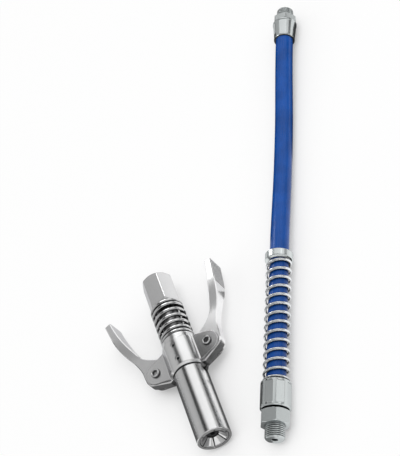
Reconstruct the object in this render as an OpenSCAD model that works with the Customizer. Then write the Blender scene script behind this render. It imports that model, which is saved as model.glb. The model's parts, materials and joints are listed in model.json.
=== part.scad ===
// Grease coupler with hose: a two-lever quick coupler and the short whip hose that feeds it.
// Millimetres, Z up. The coupler lies flat with its axis along X, mouth towards -X and inlet
// towards +X. The origin is on the floor under the middle of the coupler.

/* [Coupler] */
// Length from the mouth face to the inlet face
overall_l = 110.6; // [110:0.1:114]
// Outer diameter of the barrel
barrel_d = 18.2; // [18:0.1:18.6]
// Outer diameter of the collar that carries the levers
collar_d = 20.8; // [20.4:0.1:21.4]
// Size of the inlet hexagon across its flats
hex_af = 15.9; // [15.8:0.1:17]
// Length of the inlet hexagon
hex_l = 21.7; // [21.4:0.1:21.8]
// Diameter of the stem that is seen through the main spring
stem_d = 11.6; // [11:0.1:11.6]

/* [Motion] */
// Turn of each lever from rest to fully squeezed, in degrees
squeeze_angle = 16; // [10:1:16]
// Turn of each jaw from shut to open, in degrees
jaw_angle = 2.4; // [1:0.1:2.4]
// Play between turning or sliding metal faces
running_gap = 0.05; // [0.03:0.01:0.08]

/* [Levers] */
// Distance from the mouth face to the pivot pins
pin_x = 51.8; // [51.5:0.1:52]
// Distance from the coupler axis to each pivot pin
pin_y = 16.7; // [16.5:0.1:17]
// Diameter of the pivot pins
pin_d = 3.2; // [3:0.1:3.4]
// Thickness of a lever at its heel
lever_t = 5.7; // [5.5:0.1:5.7]
// Width of a lever across its grip pad
pad_w = 12.2; // [10:0.1:13]
// Number of grooves across each grip pad
groove_count = 13; // [9:1:13]
// Distance from one groove to the next
groove_pitch = 1.12; // [1:0.01:1.14]
// Radius of the ears round the pins
ear_r = 6.1; // [5.6:0.1:6.1]
// Thickness of one ear plate
ear_t = 1.25; // [1:0.05:1.4]

/* [Springs] */
// Outer diameter of the main spring
spring_d = 18.8; // [18.4:0.1:19]
// Wire of the main spring
spring_wire = 1.9; // [1.7:0.1:2]
// Turns of the main spring that work, without the closed ends
spring_turns = 4.6; // [4:0.1:5]

/* [Jaws] */
// Number of jaws round the mouth
jaw_count = 6; // [6]
// Width of the slit between two jaws
slit_w = 0.7; // [0.5:0.1:0.8]
// Radius of the gripping lips when the jaws are shut
lip_r = 3.2; // [3:0.1:3.3]

/* [Hose] */
// Outer diameter of the hose
hose_d = 10.5; // [10:0.1:10.6]
// Free length of the hose between its two ferrules
hose_l = 230; // [230]
// Diameter of the threaded ends of the hose
thread_d = 10.2; // [10:0.1:10.3]
// Outer diameter of the wire guard
guard_d = 14.2; // [14:0.1:14.6]
// Wire of the guard
guard_wire = 1.5; // [1.4:0.1:1.6]
// Turns of the guard
guard_turns = 14; // [10:1:15]
// Length of the wire guard
guard_l = 71.5; // [60:0.5:72]

/* [Hidden] */

$fn = 96;
over = 1;

barrel_r = barrel_d / 2;
collar_r = collar_d / 2;
stem_r = stem_d / 2;

// The sleeve is the barrel with its collar; the core slides in it
sleeve_bore_r = 7.25;
core_r = sleeve_bore_r - running_gap;
throat_r = 6.45;
mouth_r = 7.7;
throat_x = 4;
neck_r = 8.55;
neck_x = 42.6;
neck_end_x = 59.4;
collar_x = 43;
collar_top_x = 61.5;
seat_r = 9.4;
seat_x = 64.7;
slot_half_w = 3.05;
slot_end_x = 37.2;

// Levers turn on a shoulder of the core, so the travel of the sleeve follows from the angle
nose_arm = pin_y - core_r;
sleeve_travel = nose_arm * squeeze_angle * PI / 180;
shoulder_x = 42.3;
groove_r = 3.2;
ear_gap = 0.1;
ear_in_z = lever_t / 2 + ear_gap;
ear_out_z = ear_in_z + ear_t;
pin_head_r = 2.35;
pin_head_h = 1.8;
screw_stations = [48, 57];

// The hexagon is screwed on the stem, and the main spring bears on its long chamfer
hex_x = overall_l - hex_l;
hex_corner_r = hex_af / 2 / cos(30);
hex_seat_r = 7;
passage_r = 1.5;
inlet_r = 4.35;
inlet_depth = 9.8;
stem_end_x = overall_l - inlet_depth - 0.5;
valve_r = 2.6;
valve_x = 76.5;
check_seat_x = 91.4;
check_ball_r = 1.9;
check_ball_x = check_seat_x - 1.45;
check_spring_end_x = check_ball_x - 1.65;

spring_r = (spring_d - spring_wire) / 2;
spring_end_x = hex_x + spring_r - hex_seat_r - spring_wire / 2 * sqrt(2) - 0.03;

// Jaws hook into a groove behind the spigot of the core and tip about it
jaw_pivot_x = 14.5;
jaw_pivot_r = 4;
jaw_ring_x = 10.8;

// The hose lies on the floor beside the coupler; s runs from its inlet end to its outlet end
hose_r = hose_d / 2;
hose_at = [-45, -40];
hose_turn = -23.5;
guard_ring_l = 4.1;
inlet_ferrule_r = 7.85;
inlet_ferrule_l = 14.7;
outlet_ferrule_r = 7.35;
outlet_ferrule_l = 13.1;
inlet_axis_z = 7.85;
ring_axis_z = 7.65;
outlet_axis_z = 7.35;
hose_route = [
    [0, 7.85], [15, 7.85], [30, 7.8], [45, 7.75], [60, 7.7], [75, 7.6], [88, 7.3],
    [101, 6.8], [114, 6.2], [127, 5.7], [140, 5.45], [153, 5.4], [166, 5.5], [179, 5.9],
    [192, 6.5], [205, 7.0], [217, 7.3], [230, 7.35]
];

steel = [0.74, 0.75, 0.77];
bright_steel = [0.84, 0.85, 0.87];
dark_steel = [0.42, 0.43, 0.45];
rubber = [0.06, 0.06, 0.07];
hose_blue = [0.1, 0.31, 0.65];
zinc = [0.72, 0.76, 0.77];

// Puts a piece that is drawn round the coupler axis, mouth at X 0, in its place
module on_coupler() translate([-overall_l / 2, 0, collar_r]) children();

// Puts a piece that is drawn along the hose axis, inlet ferrule mouth at X 0, in its place
module on_hose(axis_z) translate([hose_at.x, hose_at.y, axis_z]) rotate([0, 0, hose_turn]) children();

// Revolves a profile of [radius, x] points round the X axis
module revolve(profile) rotate([0, 90, 0]) rotate_extrude() polygon(profile);

// Cylinder along X from one station to another
module rod(r, x1, x2) translate([x1, 0, 0]) rotate([0, 90, 0]) cylinder(r = r, h = x2 - x1);

// Hexagonal bar along X with flats up and down
module hex_rod(af, x1, x2)
    translate([x1, 0, 0]) rotate([0, 90, 0]) rotate([0, 0, 30])
        cylinder(r = af / 2 / cos(30), h = x2 - x1, $fn = 6);

// Point at which a line from p touches the circle of radius r round c, on the given side
function tangent_point(p, c, r, side) =
    let (d = c - p, a = atan2(d.y, d.x), b = acos(r / norm(d)))
    c - r * [cos(a - side * b), sin(a - side * b)];

// Smooth open curve through hand-chosen points
function curve(p, steps) = [
    for (i = [0 : len(p) - 2], k = [0 : steps - 1])
        let (
            a = p[max(i - 1, 0)], b = p[i], c = p[i + 1], d = p[min(i + 2, len(p) - 1)],
            t = k / steps
        )
        0.5 * (2 * b + (c - a) * t + (2 * a - 5 * b + 4 * c - d) * t * t
            + (3 * b - a - 3 * c + d) * t * t * t),
    p[len(p) - 1]
];

// Faces of a tube of n rings with the given number of sides, closed at both ends
function tube_faces(n, sides) = concat(
    [[for (j = [0 : sides - 1]) j]],
    [for (i = [0 : n - 2], j = [0 : sides - 1])
        [i * sides + j, (i + 1) * sides + j, (i + 1) * sides + (j + 1) % sides]],
    [for (i = [0 : n - 2], j = [0 : sides - 1])
        [i * sides + j, (i + 1) * sides + (j + 1) % sides, i * sides + (j + 1) % sides]],
    [[for (j = [sides - 1 : -1 : 0]) (n - 1) * sides + j]]
);

// Distance along a spring after t turns: closed end, working turns, closed end
function coil_x(t, turns, closed, wire, pitch) =
    wire * min(t, closed)
    + pitch * max(0, min(t - closed, turns))
    + wire * max(0, t - closed - turns);

// Compression spring along X: wire centres run from x1 to x2 at radius r
module coil(x1, x2, r, wire, turns, closed, per_turn, sides) {
    pitch = (x2 - x1 - 2 * closed * wire) / turns;
    total = turns + 2 * closed;
    n = round(total * per_turn);
    points = [
        for (i = [0 : n], j = [0 : sides - 1])
            let (
                t = i * total / n, a = 360 * t, b = 360 * j / sides,
                rr = r + wire / 2 * cos(b),
                x = x1 + coil_x(t, turns, closed, wire, pitch) + wire / 2 * sin(b)
            )
            [x, rr * cos(a), rr * sin(a)]
    ];
    polyhedron(points, tube_faces(n + 1, sides));
}

// Inlet: a hexagon with both ends chamfered, screwed on the stem and threaded for the hose
module inlet_hex() color(bright_steel) on_coupler() difference() {
    intersection() {
        hex_rod(hex_af, hex_x, overall_l);
        revolve([
            [0, hex_x], [hex_seat_r, hex_x],
            [hex_corner_r + 0.2, hex_x + hex_corner_r + 0.2 - hex_seat_r],
            [hex_corner_r + 0.2, overall_l - hex_corner_r - 0.2 + hex_af / 2],
            [hex_af / 2, overall_l], [0, overall_l]
        ]);
    }
    rod(5.05, hex_x - over, overall_l - inlet_depth);
    rod(inlet_r, overall_l - inlet_depth - over, overall_l + over);
    revolve([
        [0, overall_l - 0.9], [inlet_r, overall_l - 0.9], [5.3, overall_l],
        [5.3, overall_l + over], [0, overall_l + over]
    ]);
}

// Core: guide head, neck for the lever noses and long stem, bored through for the grease
module core_stem() color(dark_steel) on_coupler() revolve([
    [passage_r, 12.2], [3.9, 12.2], [4.2, 12.5], [4.2, 13.6], [3.1, 13.6], [3.1, 15.4],
    [4.2, 15.4], [4.2, 16.6], [6.9, 16.6], [core_r, 16.9], [core_r, shoulder_x],
    [groove_r, shoulder_x], [groove_r, 49.8], [stem_r, 52.4], [stem_r, hex_x - 0.3],
    [stem_r - 0.3, hex_x], [5, hex_x], [5, stem_end_x - 0.3], [4.7, stem_end_x],
    [valve_r, stem_end_x], [valve_r, valve_x], [passage_r, valve_x]
]);

// Main spring, from the collar to the chamfer of the hexagon
module main_spring() color(bright_steel) on_coupler()
    coil(seat_x + spring_wire / 2 + 0.03, spring_end_x, spring_r, spring_wire, spring_turns, 1, 22, 8);

// Seat of the check valve, a ring screwed into the stem
module check_seat() color(dark_steel) on_coupler() revolve([
    [1.25, check_seat_x + 0.1], [1.35, check_seat_x], [2.4, check_seat_x],
    [2.55, check_seat_x + 0.2], [2.55, check_seat_x + 4], [1.25, check_seat_x + 4]
]);

module check_ball() color(bright_steel) on_coupler()
    translate([check_ball_x, 0, 0]) sphere(r = check_ball_r);

module check_spring() color(bright_steel) on_coupler()
    coil(valve_x + 0.3, check_spring_end_x, 1.5, 0.5, 5, 1, 12, 6);

// Barrel: tapered mouth that shuts the jaws, long bore, and a neck that the collar holds
module barrel() color(steel) on_coupler() difference() {
    revolve([
        [mouth_r, 0], [barrel_r - 0.3, 0], [barrel_r, 0.3], [barrel_r, neck_x - 0.9],
        [barrel_r - 0.12, neck_x - 0.45], [barrel_r - 0.42, neck_x - 0.1], [neck_r, neck_x],
        [neck_r, neck_end_x - 0.4], [neck_r - 0.4, neck_end_x], [sleeve_bore_r, neck_end_x],
        [sleeve_bore_r, 9], [throat_r, 7], [throat_r, throat_x]
    ]);
    for (side = [-1, 1]) lever_slot(side, slot_end_x, 56);
}

// Opening with a round end through one side wall, where a lever's nose goes in
module lever_slot(side, x1, x2) {
    translate([x1 + slot_half_w, side * barrel_r, 0]) rotate([90, 0, 0])
        cylinder(r = slot_half_w, h = 10, center = true);
    translate([x1 + slot_half_w, side * barrel_r - 5, -slot_half_w])
        cube([x2 - x1 - slot_half_w, 10, 2 * slot_half_w]);
}

// Outline of an ear: tangents from the collar to the round end about the pin
module ear_outline() {
    low = [43.5, 9.6];
    high = [60.7, 9.6];
    pin = [pin_x, pin_y];
    polygon([
        [low.x, 6.5], low, tangent_point(low, pin, ear_r, 1), pin,
        tangent_point(high, pin, ear_r, -1), high, [high.x, 6.5]
    ]);
    translate(pin) circle(r = ear_r);
}

// Collar: ring with the spring seat, two pairs of ears and the fillets that carry them
module collar() color(steel) on_coupler() difference() {
    union() {
        revolve([
            [collar_r - 1.1, collar_x], [collar_r, collar_x + 1],
            [collar_r, collar_top_x - 0.8], [collar_r - 0.8, collar_top_x],
            [seat_r, collar_top_x], [seat_r, seat_x - 0.2], [seat_r - 0.2, seat_x], [0, seat_x],
            [0, collar_x]
        ]);
        for (y = [0, 1], z = [0, 1]) mirror([0, y, 0]) mirror([0, 0, z]) {
            translate([0, 0, ear_in_z]) linear_extrude(ear_t) ear_outline();
            ear_fillet();
        }
    }
    rod(neck_r + 0.05, collar_x - over, neck_end_x + 0.4);
    rod(stem_r + running_gap, neck_end_x, seat_x + over);
    for (side = [-1, 1]) translate([collar_x - over, side * collar_r - 5, -ear_in_z])
        cube([14.5, 10, 2 * ear_in_z]);
    for (side = [-1, 1]) translate([pin_x, side * pin_y, 0])
        cylinder(r = pin_d / 2 + 0.02, h = 20, center = true);
    for (x = screw_stations) translate([x, 0, 7]) cylinder(r = 1.5, h = 5);
}

// Small concave fillet between the face of an ear and the round of the collar
module ear_fillet() {
    z = ear_out_z;
    translate([44.2, 0, 0]) rotate([90, 0, 90]) linear_extrude(16.4) polygon([
        [8.8, z - 0.3], [10.2, z - 0.3], [10.2, z], [9.8, z + 0.07], [9.5, z + 0.25],
        [9.3, z + 0.55], [8.8, z + 0.6]
    ]);
}

// Socket screw, one of two that lock the collar on the barrel
module set_screw(x) color(dark_steel) on_coupler() translate([x, 0, neck_r + 0.1]) difference() {
    cylinder(r = 1.45, h = 1.6);
    translate([0, 0, 0.6]) cylinder(r = 0.85, h = 2, $fn = 6);
    translate([0, 0, 1.3]) cylinder(r1 = 0.8, r2 = 1.15, h = 0.31);
}
module set_screw_front() set_screw(screw_stations[0]);
module set_screw_rear() set_screw(screw_stations[1]);

// Pivot pin: shaft, and at each end a head with a waist and a hexagonal socket
module pin_head() {
    z = ear_out_z + 0.02;
    top = ear_out_z + pin_head_h;
    difference() {
        rotate_extrude() polygon([
            [0, 0], [pin_d / 2, 0], [pin_d / 2, z], [pin_head_r - 0.15, z], [pin_head_r - 0.15, z + 0.35],
            [pin_head_r - 0.4, z + 0.45], [pin_head_r - 0.4, z + 0.65], [pin_head_r, z + 0.8],
            [pin_head_r, top - 0.25], [pin_head_r - 0.2, top], [0, top]
        ]);
        translate([0, 0, top - 1.3]) cylinder(r = 1.65, h = 2, $fn = 6);
        translate([0, 0, top - 0.3]) cylinder(r1 = 1.5, r2 = 1.85, h = 0.31);
    }
}
module pivot_pin(side) color(bright_steel) on_coupler() translate([pin_x, side * pin_y, 0])
    for (z = [0, 1]) mirror([0, 0, z]) pin_head();
module pivot_pin_left() pivot_pin(1);
module pivot_pin_right() pivot_pin(-1);

// Lever seen along its pin: outer back, tip, inner side, stop shoulder and nose
lever_back = [
    [47.3, 21.6], [48.4, 22.9], [50.4, 23.9], [54, 24.4], [58, 24.7], [62, 25.7], [67, 27.7],
    [72, 30.2], [77, 32.3], [82.7, 33.9], [90, 35.2], [98, 36.4]
];
lever_belly = [
    [98.8, 32.6], [92.1, 31.4], [84, 29.3], [78.6, 27.5], [73.6, 25.4], [70.4, 24],
    [67.4, 22.2], [65, 20], [62.9, 17.2], [60.9, 13.9]
];
lever_nose = [
    [59.2, 12.9], [54.4, 11.9], [51, 9.6], [45.9, 4.5], [45, 3.9], [44, 3.8], [43.3, 4.1],
    [42.9, 4.9], [42.7, 6.4], [43.2, 8.1], [43.4, 9.2], [43, 10.3], [42.6, 11.2]
];
module lever_outline() polygon(concat(curve(lever_back, 3), curve(lever_belly, 3), lever_nose));

// Lever seen from its back: parallel heel that widens smoothly into the grip pad
function flare(x) =
    let (t = max(0, min(1, (x - 67) / 20)))
    lever_t / 2 + (pad_w - lever_t) / 2 * t * t * (3 - 2 * t);
module lever_width() {
    edge = [for (x = [67 : 2.5 : 87]) [x, flare(x)]];
    half = concat([[40, lever_t / 2]], edge, [[100, pad_w / 2]]);
    polygon(concat(half, [for (i = [len(half) - 1 : -1 : 0]) [half[i].x, -half[i].y]]));
}

// Grooves run straight across the back of the pad, close behind the tip
groove_w = 0.5;
groove_depth = 0.35;
pad_turn = 9;
module grip_grooves() for (k = [0 : groove_count - 1])
    translate([98 - 0.9 - k * groove_pitch, 36.4 - 0.14 - k * groove_pitch * tan(pad_turn), 0])
        rotate([0, 0, pad_turn])
            translate([-groove_w, -groove_depth, -pad_w / 2 - over])
                cube([groove_w, 2, pad_w + 2 * over]);

module lever(side) color(steel) on_coupler() mirror([0, side < 0 ? 1 : 0, 0]) difference() {
    intersection() {
        translate([0, 0, -pad_w]) linear_extrude(2 * pad_w) lever_outline();
        rotate([90, 0, 0]) translate([0, 0, -60]) linear_extrude(60) lever_width();
    }
    translate([pin_x, pin_y, 0]) cylinder(r = pin_d / 2 + running_gap, h = 20, center = true);
    grip_grooves();
}
module lever_left() lever(1);
module lever_right() lever(-1);

// Jaw: one sector of the collet, with funnel, gripping lip, ring groove and rear hook
module jaw(index) color(bright_steel) on_coupler() rotate([30 + 60 * index, 0, 0])
    intersection() {
        revolve([
            [6.4, 0.4], [6.5, 0.17], [6.65, 0.1], [7.35, 0.1], [7.5, 0.3], [6.3, 4.15], [5.85, 5.6],
            [5.85, 10], [4.85, 10], [4.85, 11.6], [5.85, 11.6], [5.85, 16.2], [4.5, 16.2],
            [4.5, 15.2], [3.4, 15.2], [3.4, 13.8], [4.5, 13.8], [4.5, 12.1], [3.65, 11.3],
            [3.65, 3.8], [lip_r, 3.4], [lip_r, 3.05]
        ]);
        rotate([0, 90, 0]) linear_extrude(20) polygon([
            [0, slit_w], [-20 * sin(30), slit_w + 20 * cos(30)], [20 * sin(30), slit_w + 20 * cos(30)]
        ]);
    }
module jaw_1() jaw(0);
module jaw_2() jaw(1);
module jaw_3() jaw(2);
module jaw_4() jaw(3);
module jaw_5() jaw(4);
module jaw_6() jaw(5);

// Wire ring that holds the jaws together
module jaw_ring() color(dark_steel) on_coupler() translate([jaw_ring_x, 0, 0]) rotate([0, 90, 0])
    rotate_extrude() translate([5.5, 0]) circle(r = 0.4, $fn = 24);

// Rubber seal behind the lips: raised rim round the hole, flange and spring boss
module seal() color(rubber) on_coupler() revolve([
    [1.3, 3.5], [1.5, 3.25], [1.9, 3.25], [2.1, 3.5], [2.3, 3.65], [2.7, 3.45], [2.9, 3.6],
    [2.9, 3.9], [3.4, 4.1], [3.4, 6.4], [2.3, 6.4], [2.2, 7.1], [1.3, 7.1]
]);

module seal_spring() color(bright_steel) on_coupler()
    coil(6.75, 11.85, 2.75, 0.6, 2.5, 0.75, 12, 6);

// Hose: one tube swept along the hand-chosen route, which lies in an upright plane
module hose_tube() color(hose_blue) on_hose(0) {
    sides = 10;
    last = len(hose_route) - 1;
    points = [
        for (i = [0 : last], j = [0 : sides - 1])
            let (
                before = hose_route[max(i - 1, 0)], after = hose_route[min(i + 1, last)],
                level = i == 0 || i == last,
                slope = level ? 0 : atan((after.y - before.y) / (after.x - before.x)),
                b = 360 * (j + 0.5) / sides, up = hose_r * sin(b)
            )
            [hose_route[i].x - up * sin(slope), hose_r * cos(b), hose_route[i].y + up * cos(slope)]
    ];
    polyhedron(points, tube_faces(last + 1, sides));
}

// Wire guard round the inlet end of the hose, and the ring that closes it
module hose_guard_spring() color(zinc) on_hose((inlet_axis_z + ring_axis_z) / 2)
    coil(guard_wire / 2 + 0.05, guard_l - guard_wire / 2 - 0.05, (guard_d - guard_wire) / 2,
        guard_wire, guard_turns - 1, 0.5, 16, 6);

module hose_guard_ring() color(zinc) on_hose(ring_axis_z) revolve([
    [hose_r + 0.12, guard_l], [7.4, guard_l], [ring_axis_z, guard_l + 0.25],
    [ring_axis_z, guard_l + guard_ring_l - 0.3], [7.35, guard_l + guard_ring_l],
    [hose_r + 0.12, guard_l + guard_ring_l]
]);

// Ferrule at the inlet end, pressed flat on eight sides when it was crimped
module hose_inlet_ferrule() color(zinc) on_hose(inlet_axis_z) difference() {
    intersection() {
        revolve([
            [0, -inlet_ferrule_l], [7.3, -inlet_ferrule_l], [inlet_ferrule_r, -inlet_ferrule_l + 0.6],
            [inlet_ferrule_r, -0.4], [7.5, 0], [0, 0]
        ]);
        union() {
            translate([-inlet_ferrule_l + 1.6, 0, 0]) rotate([0, 90, 0]) rotate([0, 0, 22.5])
                cylinder(r = 7.55 / cos(22.5), h = inlet_ferrule_l - 3, $fn = 8);
            rod(inlet_ferrule_r, -inlet_ferrule_l, -inlet_ferrule_l + 1.6);
            rod(inlet_ferrule_r, -1.4, 0);
        }
    }
    rod(3.2, -inlet_ferrule_l - over, over);
}

// Nipple at the inlet end: tail under the ferrule, neck, hexagon and male thread
module hose_inlet_nipple() color(zinc) on_hose(inlet_axis_z) difference() {
    union() {
        rod(3.15, -16, 0);
        rod(5.6, -15.9, -14.75);
        intersection() {
            hex_rod(14, -22.9, -15.7);
            revolve([[0, -22.9], [7, -22.9], [8.1, -22.3], [8.1, -16.3], [7, -15.7], [0, -15.7]]);
        }
        revolve([
            [0, -30.1], [thread_d / 2 - 0.7, -30.1], [thread_d / 2, -29.4],
            [thread_d / 2, -22.8], [0, -22.8]
        ]);
    }
    rod(1.6, -31, -0.4);
}

// Ferrule at the outlet end, tapered towards the hose
module hose_outlet_ferrule() color(zinc) on_hose(outlet_axis_z) difference() {
    revolve([
        [0, hose_l], [6.1, hose_l], [6.4, hose_l + 0.3], [6.25, hose_l + 0.9],
        [7.1, hose_l + outlet_ferrule_l - 1.5], [outlet_ferrule_r, hose_l + outlet_ferrule_l - 1],
        [outlet_ferrule_r, hose_l + outlet_ferrule_l - 0.3], [7.05, hose_l + outlet_ferrule_l],
        [0, hose_l + outlet_ferrule_l]
    ]);
    rod(3.2, hose_l - over, hose_l + outlet_ferrule_l + over);
}

// Nipple at the outlet end: tail, thin hexagon and male thread
module hose_outlet_nipple() color(zinc) on_hose(outlet_axis_z) difference() {
    hex_at = hose_l + outlet_ferrule_l + 0.05;
    union() {
        rod(3.15, hose_l, hex_at + 1);
        intersection() {
            hex_rod(13, hex_at, hex_at + 4.5);
            revolve([
                [0, hex_at], [7, hex_at], [7.5, hex_at + 0.5], [7.5, hex_at + 3.8],
                [6.6, hex_at + 4.5], [0, hex_at + 4.5]
            ]);
        }
        revolve([
            [0, hex_at + 4.4], [thread_d / 2, hex_at + 4.4], [thread_d / 2, hex_at + 10.3],
            [thread_d / 2 - 0.7, hex_at + 11], [0, hex_at + 11]
        ]);
    }
    rod(1.6, hose_l + 0.4, hex_at + 12);
}

inlet_hex();
core_stem();
main_spring();
check_seat();
check_ball();
check_spring();
barrel();
collar();
set_screw_front();
set_screw_rear();
pivot_pin_left();
pivot_pin_right();
lever_left();
lever_right();
jaw_1();
jaw_2();
jaw_3();
jaw_4();
jaw_5();
jaw_6();
jaw_ring();
seal();
seal_spring();
hose_tube();
hose_guard_spring();
hose_guard_ring();
hose_inlet_ferrule();
hose_inlet_nipple();
hose_outlet_ferrule();
hose_outlet_nipple();
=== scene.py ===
# Looks of the grease coupler and its hose: finishes, threads, hose, springs, levers, floor and light
import json
import math

import bmesh
import bpy
from mathutils import Matrix, Vector


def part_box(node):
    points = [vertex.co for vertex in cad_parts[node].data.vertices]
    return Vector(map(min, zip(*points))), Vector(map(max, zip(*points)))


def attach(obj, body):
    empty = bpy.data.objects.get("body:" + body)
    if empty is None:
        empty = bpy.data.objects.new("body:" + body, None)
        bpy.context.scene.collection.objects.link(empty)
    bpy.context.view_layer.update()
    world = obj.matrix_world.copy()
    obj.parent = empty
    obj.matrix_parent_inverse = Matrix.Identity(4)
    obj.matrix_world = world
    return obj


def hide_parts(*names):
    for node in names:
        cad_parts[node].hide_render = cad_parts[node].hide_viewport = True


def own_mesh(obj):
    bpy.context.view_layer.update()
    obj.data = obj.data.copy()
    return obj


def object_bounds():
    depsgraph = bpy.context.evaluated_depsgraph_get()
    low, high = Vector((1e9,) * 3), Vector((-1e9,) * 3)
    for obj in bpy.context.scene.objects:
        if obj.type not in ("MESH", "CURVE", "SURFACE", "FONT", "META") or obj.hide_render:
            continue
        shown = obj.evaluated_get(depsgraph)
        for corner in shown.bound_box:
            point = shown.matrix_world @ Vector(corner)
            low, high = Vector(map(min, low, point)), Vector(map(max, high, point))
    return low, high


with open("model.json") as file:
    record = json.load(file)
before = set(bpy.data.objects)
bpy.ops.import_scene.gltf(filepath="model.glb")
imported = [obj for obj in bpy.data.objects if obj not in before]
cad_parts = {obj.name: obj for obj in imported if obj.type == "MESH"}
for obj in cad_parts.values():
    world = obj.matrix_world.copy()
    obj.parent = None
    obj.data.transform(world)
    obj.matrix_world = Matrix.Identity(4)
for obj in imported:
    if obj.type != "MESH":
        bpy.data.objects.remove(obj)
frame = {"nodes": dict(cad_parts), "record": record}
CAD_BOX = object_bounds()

# Sizes are in metres unless a comment says millimetres; the coupler's axis is X, its mouth towards -X
MM = 0.001
BARREL_LOW, BARREL_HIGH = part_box("barrel")
MOUTH = Vector((BARREL_LOW.x, 0, (BARREL_LOW.z + BARREL_HIGH.z) / 2))
X_AXIS = Vector((1, 0, 0))

# Hose, as the part has it: route points are (distance along it, height), in an upright plane
HOSE_AT = Vector((-0.045, -0.040, 0))
HOSE_TURN = math.radians(-23.5)
HOSE_DIRECTION = Vector((math.cos(HOSE_TURN), math.sin(HOSE_TURN), 0))
HOSE_SIDE = Vector((-math.sin(HOSE_TURN), math.cos(HOSE_TURN), 0))
HOSE_RADIUS = 5.25 * MM
HOSE_SIDES = 48
HOSE_ROUTE = [
    (0, 0.00785), (0.015, 0.00785), (0.030, 0.0078), (0.045, 0.00775), (0.060, 0.0077),
    (0.075, 0.0076), (0.088, 0.0073), (0.101, 0.0068), (0.114, 0.0062), (0.127, 0.0057),
    (0.140, 0.00545), (0.153, 0.0054), (0.166, 0.0055), (0.179, 0.0059), (0.192, 0.0065),
    (0.205, 0.0070), (0.217, 0.0073), (0.230, 0.00735),
]


# Camera: place, direction and roll fitted on the coupler in the photograph, aimed to take in the hose
CAMERA_AT = (-0.3594, -0.1628, 0.4598)
CAMERA_LOOK = Vector((0.67811, 0.19932, -0.70742))
CAMERA_UP = Vector((0.67545, -0.54843, 0.49295))
CAMERA_NEAREST = 0.01
# Lens and width of the sensor, in millimetres
CAMERA_LENS, CAMERA_SENSOR = 100.2, 36


def make_camera():
    data = bpy.data.cameras.new("camera")
    data.sensor_fit = "HORIZONTAL"
    data.sensor_width = CAMERA_SENSOR
    data.lens = CAMERA_LENS
    data.clip_start = CAMERA_NEAREST
    camera = bpy.data.objects.new("camera", data)
    bpy.context.scene.collection.objects.link(camera)
    right = CAMERA_LOOK.cross(CAMERA_UP)
    camera.matrix_world = Matrix((right, CAMERA_UP, -CAMERA_LOOK)).transposed().to_4x4()
    camera.location = CAMERA_AT
    bpy.context.scene.camera = camera


# Mesh helpers; edges that turn by more than these angles stay sharp
SWEEP_SHARP = math.radians(35)
CUT_SHARP = math.radians(30)
# Steps of a curve between two of its points
CURVE_STEPS = 8


def link(name, mesh):
    """New object of a mesh, in the scene."""
    piece = bpy.data.objects.new(name, mesh)
    bpy.context.scene.collection.objects.link(piece)
    return piece


def mesh_piece(name, vertices, faces):
    """New smooth object of points and faces."""
    mesh = bpy.data.meshes.new(name)
    mesh.from_pydata([tuple(v) for v in vertices], [], faces)
    mesh.validate()
    mesh.update()
    mesh.shade_smooth()
    mesh.set_sharp_from_angle(angle=SWEEP_SHARP)
    return link(name, mesh)


def spline(points):
    """Smooth open curve through the points."""
    out = []
    for i in range(len(points) - 1):
        a, b = points[max(i - 1, 0)], points[i]
        c, d = points[i + 1], points[min(i + 2, len(points) - 1)]
        for k in range(CURVE_STEPS):
            t = k / CURVE_STEPS
            out.append(0.5 * (2 * b + (c - a) * t + (2 * a - 5 * b + 4 * c - d) * t * t
                              + (3 * b - a - 3 * c + d) * t * t * t))
    out.append(points[-1])
    return out


def swept(name, centres, outward, radius, sides):
    """Round wire or tube along the centres; outward gives each ring's first direction."""
    vertices, faces = [], []
    last = len(centres) - 1
    for i, centre in enumerate(centres):
        along = (centres[min(i + 1, last)] - centres[max(i - 1, 0)]).normalized()
        first = (outward[i] - along * outward[i].dot(along)).normalized()
        second = along.cross(first)
        for j in range(sides):
            angle = 2 * math.pi * j / sides
            vertices.append(centre + radius * (math.cos(angle) * first + math.sin(angle) * second))
    for i in range(last):
        for j in range(sides):
            k = (j + 1) % sides
            faces.append((i * sides + j, i * sides + k, (i + 1) * sides + k, (i + 1) * sides + j))
    faces.append(tuple(range(sides - 1, -1, -1)))
    faces.append(tuple(last * sides + j for j in range(sides)))
    return mesh_piece(name, vertices, faces)


def coil(name, origin, along, start, x1, x2, radius, wire, turns, closed, wire_sides=16, per_turn=40):
    """Compression spring round the line from origin along the axis, with closed ends."""
    third = along.cross(start)
    pitch = (x2 - x1 - 2 * closed * wire) / turns
    total = turns + 2 * closed
    count = round(total * per_turn)
    centres, outward = [], []
    for i in range(count + 1):
        t = i * total / count
        x = x1 + wire * min(t, closed) + pitch * max(0, min(t - closed, turns))
        x += wire * max(0, t - closed - turns)
        radial = math.cos(2 * math.pi * t) * start + math.sin(2 * math.pi * t) * third
        centres.append(origin + along * x + radial * radius)
        outward.append(radial)
    return swept(name, centres, outward, wire / 2, wire_sides)


def to_object(mesh, name, materials=()):
    """New object of a bmesh, which is freed."""
    data = bpy.data.meshes.new(name)
    mesh.to_mesh(data)
    mesh.free()
    for material in materials:
        data.materials.append(material)
    return link(name, data)


def baked(piece, name):
    """The piece with its modifiers applied, as a new object; the old one goes."""
    graph = bpy.context.evaluated_depsgraph_get()
    data = bpy.data.meshes.new_from_object(piece.evaluated_get(graph))
    bpy.data.objects.remove(piece)
    data.name = name
    return link(name, data)


def carved(plain, cutter, name):
    """The piece with the cutter's shape taken out, as a new object; the old ones go."""
    cut = plain.modifiers.new("cut", "BOOLEAN")
    cut.object = cutter
    cut.operation = "DIFFERENCE"
    cut.solver = "EXACT"
    piece = baked(plain, name)
    bpy.data.objects.remove(cutter)
    return piece


# Material helpers
def shader(name):
    """New material, its node tree and its main shader."""
    material = bpy.data.materials.new(name)
    material.use_nodes = True
    tree = material.node_tree
    return material, tree, tree.nodes["Principled BSDF"]


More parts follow.
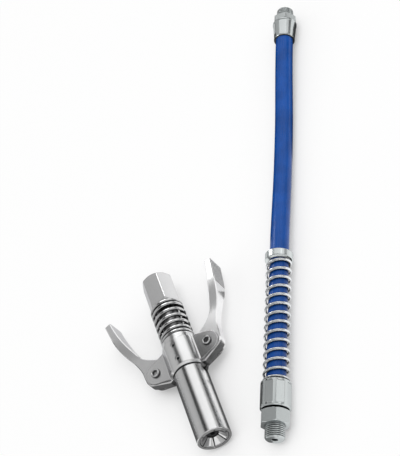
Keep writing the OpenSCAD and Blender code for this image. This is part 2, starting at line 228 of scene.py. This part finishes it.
def node(tree, kind, **values):
    """New node; each value goes to the input of that name, or else to the setting of that name."""
    made = tree.nodes.new(kind)
    for key, value in values.items():
        if key in made.inputs:
            made.inputs[key].default_value = value
        else:
            setattr(made, key, value)
    return made


def stretched_noise(tree, scale, detail=4.0, turn=0.0):
    """Noise in the piece's own metres, with its own scale along X, Y and Z, after a turn about Z."""
    place = node(tree, "ShaderNodeTexCoord")
    mapping = node(tree, "ShaderNodeMapping", vector_type="TEXTURE")
    mapping.inputs["Rotation"].default_value = (0, 0, turn)
    mapping.inputs["Scale"].default_value = [1 / s for s in scale]
    noise = node(tree, "ShaderNodeTexNoise", Scale=1.0, Detail=detail)
    tree.links.new(place.outputs["Object"], mapping.inputs["Vector"])
    tree.links.new(mapping.outputs["Vector"], noise.inputs["Vector"])
    return noise.outputs["Fac"]


def ranged(tree, value, low, high, from_low=0.35, from_high=0.65):
    """Value brought from one range to another; noise lies mostly in the range from_low to from_high."""
    spread = node(tree, "ShaderNodeMapRange")
    spread.inputs["From Min"].default_value = from_low
    spread.inputs["From Max"].default_value = from_high
    spread.inputs["To Min"].default_value = low
    spread.inputs["To Max"].default_value = high
    tree.links.new(value, spread.inputs["Value"])
    return spread.outputs["Result"]


def mixed(tree, factor, first, second):
    """Blend of two colours; sockets 6 and 7 of the node, and output 2, are those for colours."""
    blend = node(tree, "ShaderNodeMix", data_type="RGBA")
    for socket, value in ((blend.inputs[6], first), (blend.inputs[7], second)):
        if isinstance(value, tuple):
            socket.default_value = value
        else:
            tree.links.new(value, socket)
    tree.links.new(factor, blend.inputs[0])
    return blend.outputs[2]


# Painted shade: dark colour for sockets, slots and joints, where the sky is hidden
CREVICE_SHADE = (0.03, 0.03, 0.032, 1)
# Reflection near the outline of a round surface, where the finish is a little duller
EDGE_TINT = (0.6, 0.6, 0.61, 1)


def steel(name, colour, rough, grain, spread=0.06, edge=0.2 * MM, relief=0.0008 * MM, crevice=1 * MM,
          shade_range=(0.25, 0.75)):
    """Bare or plated steel: fine machining grain, cloudy tone, rounded edges, and painted shade in its
    crevices.

    The roughness is rough, more or less spread. edge is the radius of the edges, relief the depth of the
    grain, and crevice how near a crevice is. The last argument is how much of the sky is seen where the
    painted shade is full, and where it ends.
    """
    material, tree, surface = shader(name)
    surface.inputs["Metallic"].default_value = 1.0
    surface.inputs["Specular Tint"].default_value = EDGE_TINT
    fine = stretched_noise(tree, grain)
    cloud = stretched_noise(tree, (140, 140, 140), 3.0)
    level = ranged(tree, cloud, 0, 1)
    dull = tuple(c * 0.965 for c in colour) + (1,)
    open_sky = node(tree, "ShaderNodeAmbientOcclusion", samples=8, Distance=crevice)
    # Painted shade: the colour darkens towards the crevice colour where the piece hides the sky
    painted_shade = ranged(tree, open_sky.outputs["AO"], 1, 0, *shade_range)
    unshaded = mixed(tree, level, colour + (1,), dull)
    tree.links.new(mixed(tree, painted_shade, unshaded, CREVICE_SHADE), surface.inputs["Base Color"])
    tree.links.new(ranged(tree, fine, rough - spread, rough + spread), surface.inputs["Roughness"])
    rounded = node(tree, "ShaderNodeBevel", samples=6, Radius=edge)
    bump = node(tree, "ShaderNodeBump", Strength=0.5, Distance=relief)
    tree.links.new(fine, bump.inputs["Height"])
    tree.links.new(rounded.outputs["Normal"], bump.inputs["Normal"])
    tree.links.new(bump.outputs["Normal"], surface.inputs["Normal"])
    return material


def groove_shade(name):
    """Painted shade on the steel inside the grip grooves: a dark, cloudy tone."""
    material, tree, surface = shader(name)
    surface.inputs["Metallic"].default_value = 1.0
    cloud = stretched_noise(tree, (1200, 1200, 1200))
    tone = mixed(tree, ranged(tree, cloud, 0, 1), (0.02, 0.02, 0.021, 1), (0.07, 0.07, 0.072, 1))
    tree.links.new(tone, surface.inputs["Base Color"])
    tree.links.new(ranged(tree, cloud, 0.4, 0.55), surface.inputs["Roughness"])
    return material


def rubber(name, colour):
    """Matt black moulded rubber with a faint bloom."""
    material, tree, surface = shader(name)
    cloud = stretched_noise(tree, (900, 900, 900))
    pale = tuple(c * 1.7 for c in colour) + (1,)
    tree.links.new(mixed(tree, ranged(tree, cloud, 0, 1), colour + (1,), pale), surface.inputs["Base Color"])
    tree.links.new(ranged(tree, cloud, 0.42, 0.6), surface.inputs["Roughness"])
    bump = node(tree, "ShaderNodeBump", Strength=0.4, Distance=0.02 * MM)
    tree.links.new(cloud, bump.inputs["Height"])
    tree.links.new(bump.outputs["Normal"], surface.inputs["Normal"])
    return material


def hose_cover(name, colour):
    """Smooth extruded cover: soft sheen, faint lengthwise drawing lines, slight cloudiness, painted shade
    below.
    """
    material, tree, surface = shader(name)
    cloud = stretched_noise(tree, (90, 90, 90), 3.0)
    lines = stretched_noise(tree, (60, 2200, 2200), turn=HOSE_TURN)
    deep = tuple(c * 0.75 for c in colour) + (1,)
    navy = tuple(c * 0.22 for c in colour) + (1,)
    # Painted shade: the colour darkens to navy where the floor and the piece hide the sky
    open_sky = node(tree, "ShaderNodeAmbientOcclusion", samples=8, Distance=12 * MM)
    shaded = ranged(tree, open_sky.outputs["AO"], 1, 0, 0.45, 0.9)
    unshaded = mixed(tree, ranged(tree, cloud, 0, 1), colour + (1,), deep)
    tree.links.new(mixed(tree, shaded, unshaded, navy), surface.inputs["Base Color"])
    tree.links.new(ranged(tree, lines, 0.24, 0.32), surface.inputs["Roughness"])
    surface.inputs["IOR"].default_value = 1.38
    bump = node(tree, "ShaderNodeBump", Strength=0.35, Distance=0.01 * MM)
    tree.links.new(lines, bump.inputs["Height"])
    tree.links.new(bump.outputs["Normal"], surface.inputs["Normal"])
    return material


# Grain scales are per metre along X, Y and Z: turned parts have rings, ground ones have long scratches
TURNED = (9000, 90, 90)
GROUND = (120, 6000, 6000)
SATIN = (3500, 3500, 3500)

# Colour, roughness and grain of each steel, and what else differs from the usual
# The crevice entries, with the sky range after them, set where each steel's painted shade falls
STEELS = {
    "barrel_steel": dict(colour=(0.85, 0.85, 0.853), rough=0.22, grain=TURNED, spread=0.03),
    "collar_steel": dict(colour=(0.88, 0.88, 0.883), rough=0.24, grain=TURNED, spread=0.012,
                         edge=0.35 * MM, relief=0.0003 * MM, crevice=1.5 * MM, shade_range=(0.4, 0.85)),
    "lever_steel": dict(colour=(0.88, 0.88, 0.883), rough=0.42, grain=SATIN, spread=0.02,
                        edge=0, crevice=2.5 * MM),
    "lever_side": dict(colour=(0.90, 0.90, 0.903), rough=0.2, grain=SATIN, spread=0.03,
                       edge=0, crevice=2.5 * MM, shade_range=(0.4, 0.9)),
    # The chamfers' colour is brighter than the lever's steel: a painted highlight along its edges; they are
    # also smoother
    "lever_edge": dict(colour=(0.96, 0.96, 0.963), rough=0.2, grain=SATIN, spread=0.03,
                       edge=0, crevice=2.5 * MM),
    "hex_steel": dict(colour=(0.80, 0.80, 0.803), rough=0.13, grain=GROUND, spread=0.02, edge=0.45 * MM),
    # The stem's colour is darker than its steel: painted shade for where the spring hides it
    "stem_steel": dict(colour=(0.20, 0.20, 0.202), rough=0.22, grain=TURNED, spread=0.03, crevice=3 * MM),
    "spring_steel": dict(colour=(0.80, 0.80, 0.803), rough=0.09, grain=SATIN, spread=0.02,
                         edge=0, crevice=4 * MM, shade_range=(0.5, 0.95)),
    "ball_steel": dict(colour=(0.8, 0.8, 0.81), rough=0.06, grain=SATIN, spread=0.01, edge=0),
    "screw_steel": dict(colour=(0.70, 0.70, 0.702), rough=0.15, grain=SATIN, spread=0.03,
                        edge=0.12 * MM, crevice=2 * MM, shade_range=(0.35, 0.85)),
    "pin_steel": dict(colour=(0.80, 0.80, 0.803), rough=0.12, grain=SATIN, spread=0.02,
                      edge=0.15 * MM, crevice=2 * MM, shade_range=(0.35, 0.85)),
    "jaw_steel": dict(colour=(0.84, 0.84, 0.843), rough=0.14, grain=TURNED, spread=0.03, edge=0.12 * MM),
    "ring_steel": dict(colour=(0.42, 0.42, 0.43), rough=0.3, grain=SATIN, spread=0.03, edge=0),
    "guard_steel": dict(colour=(0.86, 0.88, 0.895), rough=0.16, grain=SATIN, spread=0.03,
                        edge=0, crevice=4 * MM, shade_range=(0.45, 0.9)),
    "hose_fittings": dict(colour=(0.66, 0.695, 0.695), rough=0.2, grain=SATIN, spread=0.04,
                          edge=0.3 * MM, crevice=2 * MM),
}


def make_materials():
    """Every finish, by its name."""
    materials = {name: steel(name, **finish) for name, finish in STEELS.items()}
    materials["seal_rubber"] = rubber("seal_rubber", (0.022, 0.022, 0.024))
    materials["hose_cover"] = hose_cover("hose_cover", (0.004, 0.085, 0.40))
    materials["groove_shade"] = groove_shade("groove_shade")
    return materials


def dress_nodes(materials):
    """Gives every CAD node the finish of its slot."""
    for part in frame["record"]["subparts"]:
        mesh = frame["nodes"][part["node"]].data
        mesh.materials.clear()
        mesh.materials.append(materials[part["material_slot"]])


def finish_piece(piece, body, slot, materials, *nodes):
    """Gives a piece the finish of its slot and the body it rides on, and hides the nodes it stands for."""
    piece.data.materials.append(materials[slot])
    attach(piece, body)
    if nodes:
        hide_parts(*nodes)
    return piece


# Hose with its wire guard: height of the guard's axis, start and end along the hose, radius of the coil,
# wire, open turns, and closed turns at each end
GUARD_HEIGHT = 7.75 * MM
GUARD_START, GUARD_END = 0.8 * MM, 70.7 * MM
GUARD_RADIUS, GUARD_WIRE = 6.4 * MM, 1.3 * MM
GUARD_TURNS, GUARD_CLOSED = 13, 0.5


def hose_point(distance, height):
    """Point at a distance along the hose and a height."""
    return HOSE_AT + HOSE_DIRECTION * distance + Vector((0, 0, height))


def make_hose(materials, ends):
    route = [hose_point(s, z) for s, z in HOSE_ROUTE]
    centres = spline(route)
    hose = swept("hose", centres, [HOSE_SIDE] * len(centres), HOSE_RADIUS, HOSE_SIDES)
    finish_piece(hose, "core", "hose_cover", materials, "hose_tube")
    # At its true size it would show in the barrel, where the photograph has no blue
    hose.visible_glossy = False
    guard = coil("wire_guard", hose_point(0, GUARD_HEIGHT), HOSE_DIRECTION, HOSE_SIDE,
                 GUARD_START, GUARD_END, GUARD_RADIUS, GUARD_WIRE, GUARD_TURNS, GUARD_CLOSED)
    finish_piece(guard, "core", "guard_steel", materials, "hose_guard_spring")


# Springs of the coupler: name, node that it stands for and joint that presses it; in millimetres, wire
# centres of the first and last turn from the mouth, radius of the coil, and wire; open turns, and closed
# turns at each end; in millimetres, held end from the mouth, and free length
SPRINGS = [
    ("return_spring", "main_spring", "sleeve_slide", (65.68, 88.97, 8.45, 1.9), 4.6, 1, 88.9, 24.2),
    ("seal_return", "seal_spring", "seal_slide", (6.75, 11.85, 2.75, 0.6), 2.5, 0.75, 12.2, 5.75),
    ("valve_return", "check_spring", "check_ball_slide", (76.8, 88.3, 1.5, 0.5), 5, 1, 76.5, 12.05),
]
# The bare spring in view is finer than the hidden ones: sides of the wire and rings in a turn
FINE_COIL = {"return_spring": dict(wire_sides=24, per_turn=64)}


def make_springs(materials):
    left = Vector((0, 1, 0))
    for name, replaced, joint, sizes, turns, closed, held_end, length in SPRINGS:
        metres = [size * MM for size in sizes]
        spring = coil(name, MOUTH, X_AXIS, left, *metres, turns, closed, **FINE_COIL.get(name, {}))
        finish_piece(spring, "core", "spring_steel", materials, replaced)
        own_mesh(spring)


# Threads: a helical groove cut in a copy of the plain fitting
THREAD_PITCH = 1 * MM
THREAD_DEPTH = 0.55 * MM
THREAD_HALF_WIDTH = 0.45 * MM
THREAD_RADIUS = 5.1 * MM
INLET_BORE = 4.35 * MM
# How far the cutter stands out of the steel, and its steps in a turn
THREAD_PROUD = 0.25 * MM
THREAD_STEPS = 40
# Points of a fitting that are nearer than this become one
WELD = 0.001 * MM
# Where each thread starts and ends: along the hose, and from the mouth in the inlet
INLET_NIPPLE_THREAD = (-31.5 * MM, -23.6 * MM)
OUTLET_NIPPLE_THREAD = (248.4 * MM, 255.6 * MM)
INLET_HEX_THREAD = (101.6 * MM, 112 * MM)


def groove_cutter(name, origin, along, start, radius, x1, x2, outwards):
    """V-shaped groove round the line from origin; outwards is 1 on a bolt and -1 in a nut."""
    third = along.cross(start)
    count = round((x2 - x1) / THREAD_PITCH * THREAD_STEPS)
    open_side = radius + outwards * THREAD_PROUD
    profile = (
        (open_side, -THREAD_HALF_WIDTH), (open_side, THREAD_HALF_WIDTH),
        (radius - outwards * THREAD_DEPTH, 0),
    )
    mesh = bmesh.new()
    rings = []
    for i in range(count + 1):
        angle = 2 * math.pi * i / THREAD_STEPS
        radial = math.cos(angle) * start + math.sin(angle) * third
        x = x1 + THREAD_PITCH * i / THREAD_STEPS
        rings.append([mesh.verts.new(origin + along * (x + shift) + radial * r) for r, shift in profile])
    for low, high in zip(rings, rings[1:]):
        for j in range(3):
            mesh.faces.new((low[j], low[j - 1], high[j - 1], high[j]))
    mesh.faces.new(rings[0])
    mesh.faces.new(rings[-1])
    bmesh.ops.recalc_face_normals(mesh, faces=mesh.faces[:])
    return to_object(mesh, name)


def threaded(node_name, slot, materials, *groove):
    """Copy of a fitting with the groove cut in it, which stands for the fitting's node."""
    mesh = bmesh.new()
    mesh.from_mesh(frame["nodes"][node_name].data)
    bmesh.ops.remove_doubles(mesh, verts=mesh.verts[:], dist=WELD)
    plain = to_object(mesh, node_name + "_plain")
    cutter = groove_cutter(node_name + "_cutter", *groove)
    piece = carved(plain, cutter, node_name + "_threaded")
    if "custom_normal" in piece.data.attributes:
        piece.data.attributes.remove(piece.data.attributes["custom_normal"])
    piece.data.shade_smooth()
    piece.data.set_sharp_from_angle(angle=CUT_SHARP)
    piece.data.materials.clear()
    return finish_piece(piece, "core", slot, materials, node_name)


def make_threads(materials):
    """Threaded ends of the hose, by node name, and the thread in the inlet."""
    inlet_axis, outlet_axis = (hose_point(0, HOSE_ROUTE[end][1]) for end in (0, -1))
    along_hose = (HOSE_DIRECTION, HOSE_SIDE, THREAD_RADIUS)
    ends = {
        "hose_inlet_nipple": (inlet_axis, *along_hose, *INLET_NIPPLE_THREAD, 1),
        "hose_outlet_nipple": (outlet_axis, *along_hose, *OUTLET_NIPPLE_THREAD, 1),
    }
    made = {n: threaded(n, "hose_fittings", materials, *groove) for n, groove in ends.items()}
    up = Vector((0, 0, 1))
    threaded("inlet_hex", "hex_steel", materials, MOUTH, X_AXIS, up, INLET_BORE, *INLET_HEX_THREAD, -1)
    return made


# Levers, in millimetres. Outline seen along the pin: distance from the mouth, distance from the axis
LEVER_BACK = [
    (47.3, 21.6), (48.4, 22.9), (50.4, 23.9), (54, 24.4), (58, 24.7), (62, 25.7), (67, 27.7),
    (72, 30.2), (77, 32.3), (82.7, 33.9), (90, 35.2), (98, 36.4),
]
LEVER_BELLY = [
    (98.8, 32.6), (92.1, 31.4), (84, 29.3), (78.6, 27.5), (73.6, 25.4), (70.4, 24),
    (67.4, 22.2), (65, 20), (62.9, 17.2), (60.9, 13.9),
]
LEVER_NOSE = [
    (59.2, 12.9), (54.4, 11.9), (51, 9.6), (45.9, 4.5), (45, 3.9), (44, 3.8), (43.3, 4.1),
    (42.9, 4.9), (42.7, 6.4), (43.2, 8.1), (43.4, 9.2), (43, 10.3), (42.6, 11.2),
]
LEVER_PIN = (51.8, 16.7)
PIN_HOLE_RADIUS, PIN_HOLE_DEPTH, PIN_HOLE_SIDES = 1.65, 20, 48
LEVER_CHAMFER = 0.5
# Half widths at the heel and at the pad, and where the lever widens from one to the other
LEVER_HEEL_HALF, LEVER_PAD_HALF = 2.85, 6.1
FLARE_START, FLARE_LENGTH = 67, 20
# Grip grooves across the pad: number, pitch, size, how far they stop short of its edges, first one's place
GROOVES, GROOVE_PITCH = 13, 1.12
GROOVE_WIDTH, GROOVE_DEPTH, GROOVE_MARGIN = 0.5, 0.42, 0.6
GROOVE_FROM_TIP, GROOVE_DROP = 0.9, 0.14
GROOVE_CUTTER_HEIGHT = 2
PAD_TURN = math.radians(9)
# A corner of the outline moves inwards by no more than the width over this
MITRE_LIMIT = 0.6
# A cut goes through a point that is nearer than this
CUT_SNAP = 0.02
# Finishes of a lever, and where all but the first go
LEVER_FINISHES = ("lever_steel", "groove_shade", "lever_edge", "lever_side")
IN_GROOVE, ON_CHAMFER, ON_SIDE = 1, 2, 3


def flare(x):
    """Half width of a lever, in millimetres, at a distance from the mouth."""
    t = max(0, min(1, (x - FLARE_START) / FLARE_LENGTH))
    return LEVER_HEEL_HALF + (LEVER_PAD_HALF - LEVER_HEEL_HALF) * t * t * (3 - 2 * t)


def lever_cutter():
    """Pin hole and grip grooves of a lever, in millimetres."""
    mesh = bmesh.new()
    bmesh.ops.create_cone(mesh, cap_ends=True, segments=PIN_HOLE_SIDES, radius1=PIN_HOLE_RADIUS,
                          radius2=PIN_HOLE_RADIUS, depth=PIN_HOLE_DEPTH,
                          matrix=Matrix.Translation((*LEVER_PIN, 0)))
    tip_x, tip_y = LEVER_BACK[-1]
    for k in range(GROOVES):
        x = tip_x - GROOVE_FROM_TIP - k * GROOVE_PITCH
        y = tip_y - GROOVE_DROP - k * GROOVE_PITCH * math.tan(PAD_TURN)
        end = Vector((x, y, 0))
        place = Matrix.Translation(end) @ Matrix.Rotation(PAD_TURN, 4, "Z")
        centre = Matrix.Translation((-GROOVE_WIDTH / 2, GROOVE_CUTTER_HEIGHT / 2 - GROOVE_DEPTH, 0))
        length = 2 * (flare(end.x) - GROOVE_MARGIN)
        size = Matrix.Diagonal((GROOVE_WIDTH, GROOVE_CUTTER_HEIGHT, length, 1))
        made = bmesh.ops.create_cube(mesh, size=1, matrix=place @ centre @ size)
        for face in {f for v in made["verts"] for f in v.link_faces}:
            face.material_index = IN_GROOVE
    return mesh


def inset(outline, width):
    """Closed outline moved inwards; it runs clockwise."""
    out = []
    for i, point in enumerate(outline):
        before = (point - outline[i - 1]).normalized()
        after = (outline[(i + 1) % len(outline)] - point).normalized()
        inwards = Vector((before.y + after.y, -before.x - after.x)).normalized()
        out.append(point + inwards * width / max(MITRE_LIMIT, inwards.dot(Vector((before.y, -before.x)))))
    return out


def lever_blank():
    """Lever with chamfered edges, in millimetres; a height from 1 to 2 here lies on the chamfer."""
    outline = spline([Vector(p) for p in LEVER_BACK])
    outline += spline([Vector(p) for p in LEVER_BELLY])
    outline += [Vector(p) for p in LEVER_NOSE]
    inner = inset(outline, LEVER_CHAMFER)
    mesh = bmesh.new()
    rings = []
    for ring, height in ((inner, -2), (outline, -1), (outline, 1), (inner, 2)):
        rings.append([mesh.verts.new((*p, height)) for p in ring])
    for material, (low, high) in zip((ON_CHAMFER, ON_SIDE, ON_CHAMFER), zip(rings, rings[1:])):
        for i in range(len(outline)):
            face = mesh.faces.new((low[i - 1], low[i], high[i], high[i - 1]))
            face.material_index = material
    mesh.faces.new(rings[0])
    mesh.faces.new(rings[-1])
    for step in range(FLARE_LENGTH + 1):
        bmesh.ops.bisect_plane(mesh, geom=mesh.verts[:] + mesh.edges[:] + mesh.faces[:], dist=CUT_SNAP,
                               plane_co=(FLARE_START + step, 0, 0), plane_no=(1, 0, 0))
    for vertex in mesh.verts:
        level = abs(vertex.co.z)
        height = min(1, level) * (flare(vertex.co.x) - LEVER_CHAMFER) + max(0, level - 1) * LEVER_CHAMFER
        vertex.co.z = math.copysign(height, vertex.co.z)
    bmesh.ops.recalc_face_normals(mesh, faces=mesh.faces[:])
    return mesh


def make_lever(name, side, materials):
    """One lever; side is 1 on the left and -1 on the right."""
    blank = to_object(lever_blank(), name + "_blank", [materials[n] for n in LEVER_FINISHES])
    cutter = to_object(lever_cutter(), name + "_cutter")
    lever = carved(blank, cutter, name)
    place = Matrix.Translation(MOUTH) @ Matrix.Diagonal((MM, side * MM, MM, 1))
    lever.data.transform(place)
    if side < 0:
        lever.data.flip_normals()
    lever.data.shade_smooth()
    lever.data.set_sharp_from_angle(angle=CUT_SHARP)
    lever.modifiers.new("even", "WEIGHTED_NORMAL").keep_sharp = True
    lever = baked(lever, name)
    return lever


def make_levers(materials):
    for name, side in (("lever_left", 1), ("lever_right", -1)):
        lever = make_lever(name + "_hand", side, materials)
        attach(lever, name)
        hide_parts(name)


# Floor, light and background

# Side of the floor, its gap below the piece, and the cards' height above it
FLOOR_SIDE = 8
FLOOR_GAP = 0.0002
CARD_LIFT = 0.0001
# Share of plain white in the floor: beside the piece, in the open and in mirrors
WHITE_BESIDE, WHITE_OPEN, WHITE_MIRRORED = 0.3, 0.95, 0.75
# How near counts as beside, and how much of the sky is seen from there and from the open
FLOOR_SHADE = 30 * MM
SKY_BESIDE, SKY_OPEN = 0.4, 1.0
# Level of the walls against the sine of the height above the floor
WALLS = [(0, 0.3), (0.3, 0.5), (0.55, 0.5), (0.72, 0.44), (0.83, 0.42), (0.93, 0.22)]


def floor_finish():
    """Pale matt floor; camera and mirror rays see it mostly as plain white, less so beside the piece."""
    material, tree, surface = shader("floor")
    surface.inputs["Base Color"].default_value = (0.92, 0.92, 0.92, 1)
    surface.inputs["Roughness"].default_value = 0.9
    white = node(tree, "ShaderNodeEmission", Strength=1.0)
    rays = node(tree, "ShaderNodeLightPath")
    mirrored = node(tree, "ShaderNodeMath", operation="MAXIMUM")
    even = node(tree, "ShaderNodeMath", operation="MULTIPLY")
    even.inputs[1].default_value = WHITE_MIRRORED
    seen = node(tree, "ShaderNodeMath", operation="MULTIPLY")
    share = node(tree, "ShaderNodeMath", operation="ADD")
    open_sky = node(tree, "ShaderNodeAmbientOcclusion", samples=12, Distance=FLOOR_SHADE)
    white_share = ranged(tree, open_sky.outputs["AO"], WHITE_BESIDE, WHITE_OPEN, SKY_BESIDE, SKY_OPEN)
    tree.links.new(white_share, seen.inputs[1])
    blend = node(tree, "ShaderNodeMixShader")
    tree.links.new(rays.outputs["Is Camera Ray"], seen.inputs[0])
    tree.links.new(rays.outputs["Is Glossy Ray"], mirrored.inputs[0])
    tree.links.new(rays.outputs["Is Transmission Ray"], mirrored.inputs[1])
    tree.links.new(mirrored.outputs[0], even.inputs[0])
    tree.links.new(seen.outputs[0], share.inputs[0])
    tree.links.new(even.outputs[0], share.inputs[1])
    tree.links.new(share.outputs[0], blend.inputs["Fac"])
    tree.links.new(surface.outputs["BSDF"], blend.inputs[1])
    tree.links.new(white.outputs["Emission"], blend.inputs[2])
    tree.links.new(blend.outputs["Shader"], tree.nodes["Material Output"].inputs["Surface"])
    return material


def card_finish(name, tone):
    """Matt grey card."""
    material, _, surface = shader(name)
    surface.inputs["Base Color"].default_value = (tone, tone, tone, 1)
    surface.inputs["Roughness"].default_value = 1.0
    surface.inputs["Specular IOR Level"].default_value = 0.0
    return material


def board_finish(name, radiance):
    """Evenly lit white board."""
    material, tree, surface = shader(name)
    glow = node(tree, "ShaderNodeEmission", Strength=radiance)
    tree.links.new(glow.outputs["Emission"], tree.nodes["Material Output"].inputs["Surface"])
    tree.nodes.remove(surface)
    return material


def stage_board(name, corners, material):
    """Flat face with one finish, for the stage."""
    piece = mesh_piece(name, corners, [tuple(range(len(corners)))])
    piece.data.materials.append(material)
    return piece


def aimed(centre, towards, along):
    """Place of a flat thing that faces a point, with its long side as near as can be to a direction."""
    back = (Vector(centre) - Vector(towards)).normalized()
    first = (Vector(along) - back * back.dot(Vector(along))).normalized()
    turn = Matrix((first, back.cross(first), back)).transposed()
    return Matrix.Translation(centre) @ turn.to_4x4()


def rectangle(width, height):
    """Corners of a rectangle that lies flat round the origin."""
    return [(width / 2 * i, height / 2 * j, 0) for i, j in ((-1, -1), (1, -1), (1, 1), (-1, 1))]


def softbox(name, centre, towards, along, width, height, radiance, mirrored):
    """Rectangular studio lamp; radiance 1 is seen as white in a mirror."""
    data = bpy.data.lights.new(name, "AREA")
    data.shape = "RECTANGLE"
    data.size = width
    data.size_y = height
    data.energy = radiance * math.pi * width * height
    lamp = bpy.data.objects.new(name, data)
    bpy.context.scene.collection.objects.link(lamp)
    lamp.matrix_world = aimed(centre, towards, along)
    lamp.visible_glossy = mirrored


def studio_walls(tree):
    """Grey walls that darken towards the floor and a darker ceiling; the camera sees them as plain white."""
    place = node(tree, "ShaderNodeTexCoord")
    parts = node(tree, "ShaderNodeSeparateXYZ")
    ramp = node(tree, "ShaderNodeValToRGB")
    stops = ramp.color_ramp.elements
    while len(stops) < len(WALLS):
        stops.new(0.5)
    for stop, (height, level) in zip(stops, WALLS):
        stop.position = height
        stop.color = (level, level, level, 1)
    background = tree.nodes["Background"]
    tree.links.new(place.outputs["Generated"], parts.inputs["Vector"])
    tree.links.new(parts.outputs["Z"], ramp.inputs["Fac"])
    rays = node(tree, "ShaderNodeLightPath")
    seen = mixed(tree, rays.outputs["Is Camera Ray"], ramp.outputs["Color"], (1, 1, 1, 1))
    tree.links.new(seen, background.inputs["Color"])


# What the lamps and most of the boards face
SUBJECT = (-0.02, 0, 0.01)
# Lamps: centre, target, long direction, length, width, radiance, and whether the metal mirrors it
LAMPS = [
    ("key", (0.44, -0.36, 0.56), SUBJECT, (0, -0.8, -0.6), 0.64, 0.7, 0.56, True),
    ("fill", (-0.1, -0.3, 1.2), SUBJECT, (1, 0, 0), 1.0, 1.0, 2.4, False),
]
# Dark flags that only the metal mirrors, their tone, and centre, target, long direction, length, width
FLAG_TONE = 0.02
FLAGS = [
    ("flag_right", (0.43, -0.60, 0.10), SUBJECT, (0.8, 0.6, 0), 0.35, 0.19),
    ("flag_near", (0.016, 0.014, 0.080), (0.016, 0.014, 0), (1, 0, 0), 0.092, 0.026),
]
# White boards that only the metal mirrors, given in the same way, with their radiance
BOARDS = [
    ("board_low", (0.65, -0.42, 0.08), SUBJECT, (0.42, 0.65, 0), 0.34, 0.2, 1.0),
    ("board_side", (0.12, -0.78, 0.45), SUBJECT, (1, 0, 0), 0.5, 0.35, 1.0),
    ("board_front", (-0.8, -0.1, 0.3), SUBJECT, (0, 1, 0), 0.7, 0.4, 0.9),
    ("board_near", (0.112, -0.020, 0.080), (0.112, -0.020, 0), (1, 0, 0), 0.060, 0.056, 4.5),
    ("board_floor", (0.088, -0.138, -0.00005), (0.088, -0.138, 1), (0.678, -0.72, 0), 0.29, 0.044, 1.1),
]
# Grey cards a hair above the floor, seen only in reflections: painted shade, darker than the floor, beside
# and under the piece and the hose; outline and tone
UNDER_CARD = [
    (-0.056, -0.02), (0, -0.02), (0.012, 0), (0.012, 0.045), (0.06, 0.075), (0.25, 0.4), (-0.056, 0.4),
]
MOUTH_CARD = [(-0.077, -0.022), (-0.0561, -0.022), (-0.0561, 0.022), (-0.077, 0.022)]
SPRING_CARD = [(0.0121, -0.015), (0.034, -0.015), (0.034, 0.015), (0.0121, 0.015)]
BACK_CARD_LOW = [(0.0125, -0.046), (0.0165, -0.046), (0.0165, -0.034), (0.0125, -0.033)]
BACK_CARD_MID = [(0.0165, -0.046), (0.022, -0.046), (0.022, -0.035), (0.0165, -0.034)]
BACK_CARD_TOP = [(0.022, -0.046), (0.029, -0.046), (0.029, -0.037), (0.022, -0.035)]
HOSE_CARD = [(HOSE_AT + HOSE_DIRECTION * along + HOSE_SIDE * aside).xy
             for along, aside in ((0.075, -0.02), (0.25, -0.02), (0.25, 0.012), (0.075, 0.012))]
CARDS = [
    ("card_under", UNDER_CARD, 0.17), ("card_spring", SPRING_CARD, 0.1), ("card_mouth", MOUTH_CARD, 0.3),
    ("card_back_low", BACK_CARD_LOW, 0.2), ("card_back_mid", BACK_CARD_MID, 0.42),
    ("card_back_top", BACK_CARD_TOP, 0.26), ("card_hose", HOSE_CARD, 0.1),
]
# Upright flags beside the right heel and the hose: foot, height, finish, and tone or radiance
# The heel flag is painted shade too: a grey sheet standing where the floor lies in the heel's shade
HEEL_FLAG = [(-0.019, -0.0145), (-0.001, -0.039)]
HOSE_FLAG, HOSE_FLAG_BACK = [
    [(HOSE_AT + HOSE_DIRECTION * along + HOSE_SIDE * aside).xy for along in (0.09, 0.24)]
    for aside in (0.012, 0.0125)
]
UPRIGHTS = [
    ("flag_heel", HEEL_FLAG, 0.009, card_finish, 0.28),
    ("flag_hose", HOSE_FLAG, 0.015, card_finish, 0.05),
    ("board_hose", HOSE_FLAG_BACK, 0.015, board_finish, 0.83),
]


def make_stage():
    """Floor, walls and lamps, and the cards, flags and boards that only reflections show."""
    ground = CAD_BOX[0][2] - FLOOR_GAP
    corners = [(x, y, ground) for x, y, _ in rectangle(FLOOR_SIDE, FLOOR_SIDE)]
    stage_board("floor", corners, floor_finish())
    world = bpy.data.worlds.new("studio")
    bpy.context.scene.world = world
    world.use_nodes = True
    studio_walls(world.node_tree)
    for lamp in LAMPS:
        softbox(*lamp)
    black = card_finish("flag", FLAG_TONE)
    hidden = []
    for name, outline, tone in CARDS:
        card = [(x, y, ground + CARD_LIFT) for x, y in outline]
        hidden.append(stage_board(name, card, card_finish(name, tone)))
    for name, (a, b), height, make_finish, level in UPRIGHTS:
        top = ground + height
        upright = [(*a, ground), (*b, ground), (*b, top), (*a, top)]
        hidden.append(stage_board(name, upright, make_finish(name, level)))
    for name, centre, towards, along, length, width, *radiance in FLAGS + BOARDS:
        finish = board_finish(name, *radiance) if radiance else black
        board = stage_board(name, rectangle(length, width), finish)
        board.matrix_world = aimed(centre, towards, along)
        hidden.append(board)
    for piece in hidden:
        piece.visible_camera = False
        piece.visible_diffuse = False
        piece.visible_shadow = False


make_camera()
MATERIALS = make_materials()
dress_nodes(MATERIALS)
make_hose(MATERIALS, make_threads(MATERIALS))
make_springs(MATERIALS)
make_levers(MATERIALS)
make_stage()

bpy.context.scene.view_settings.view_transform = "Standard"
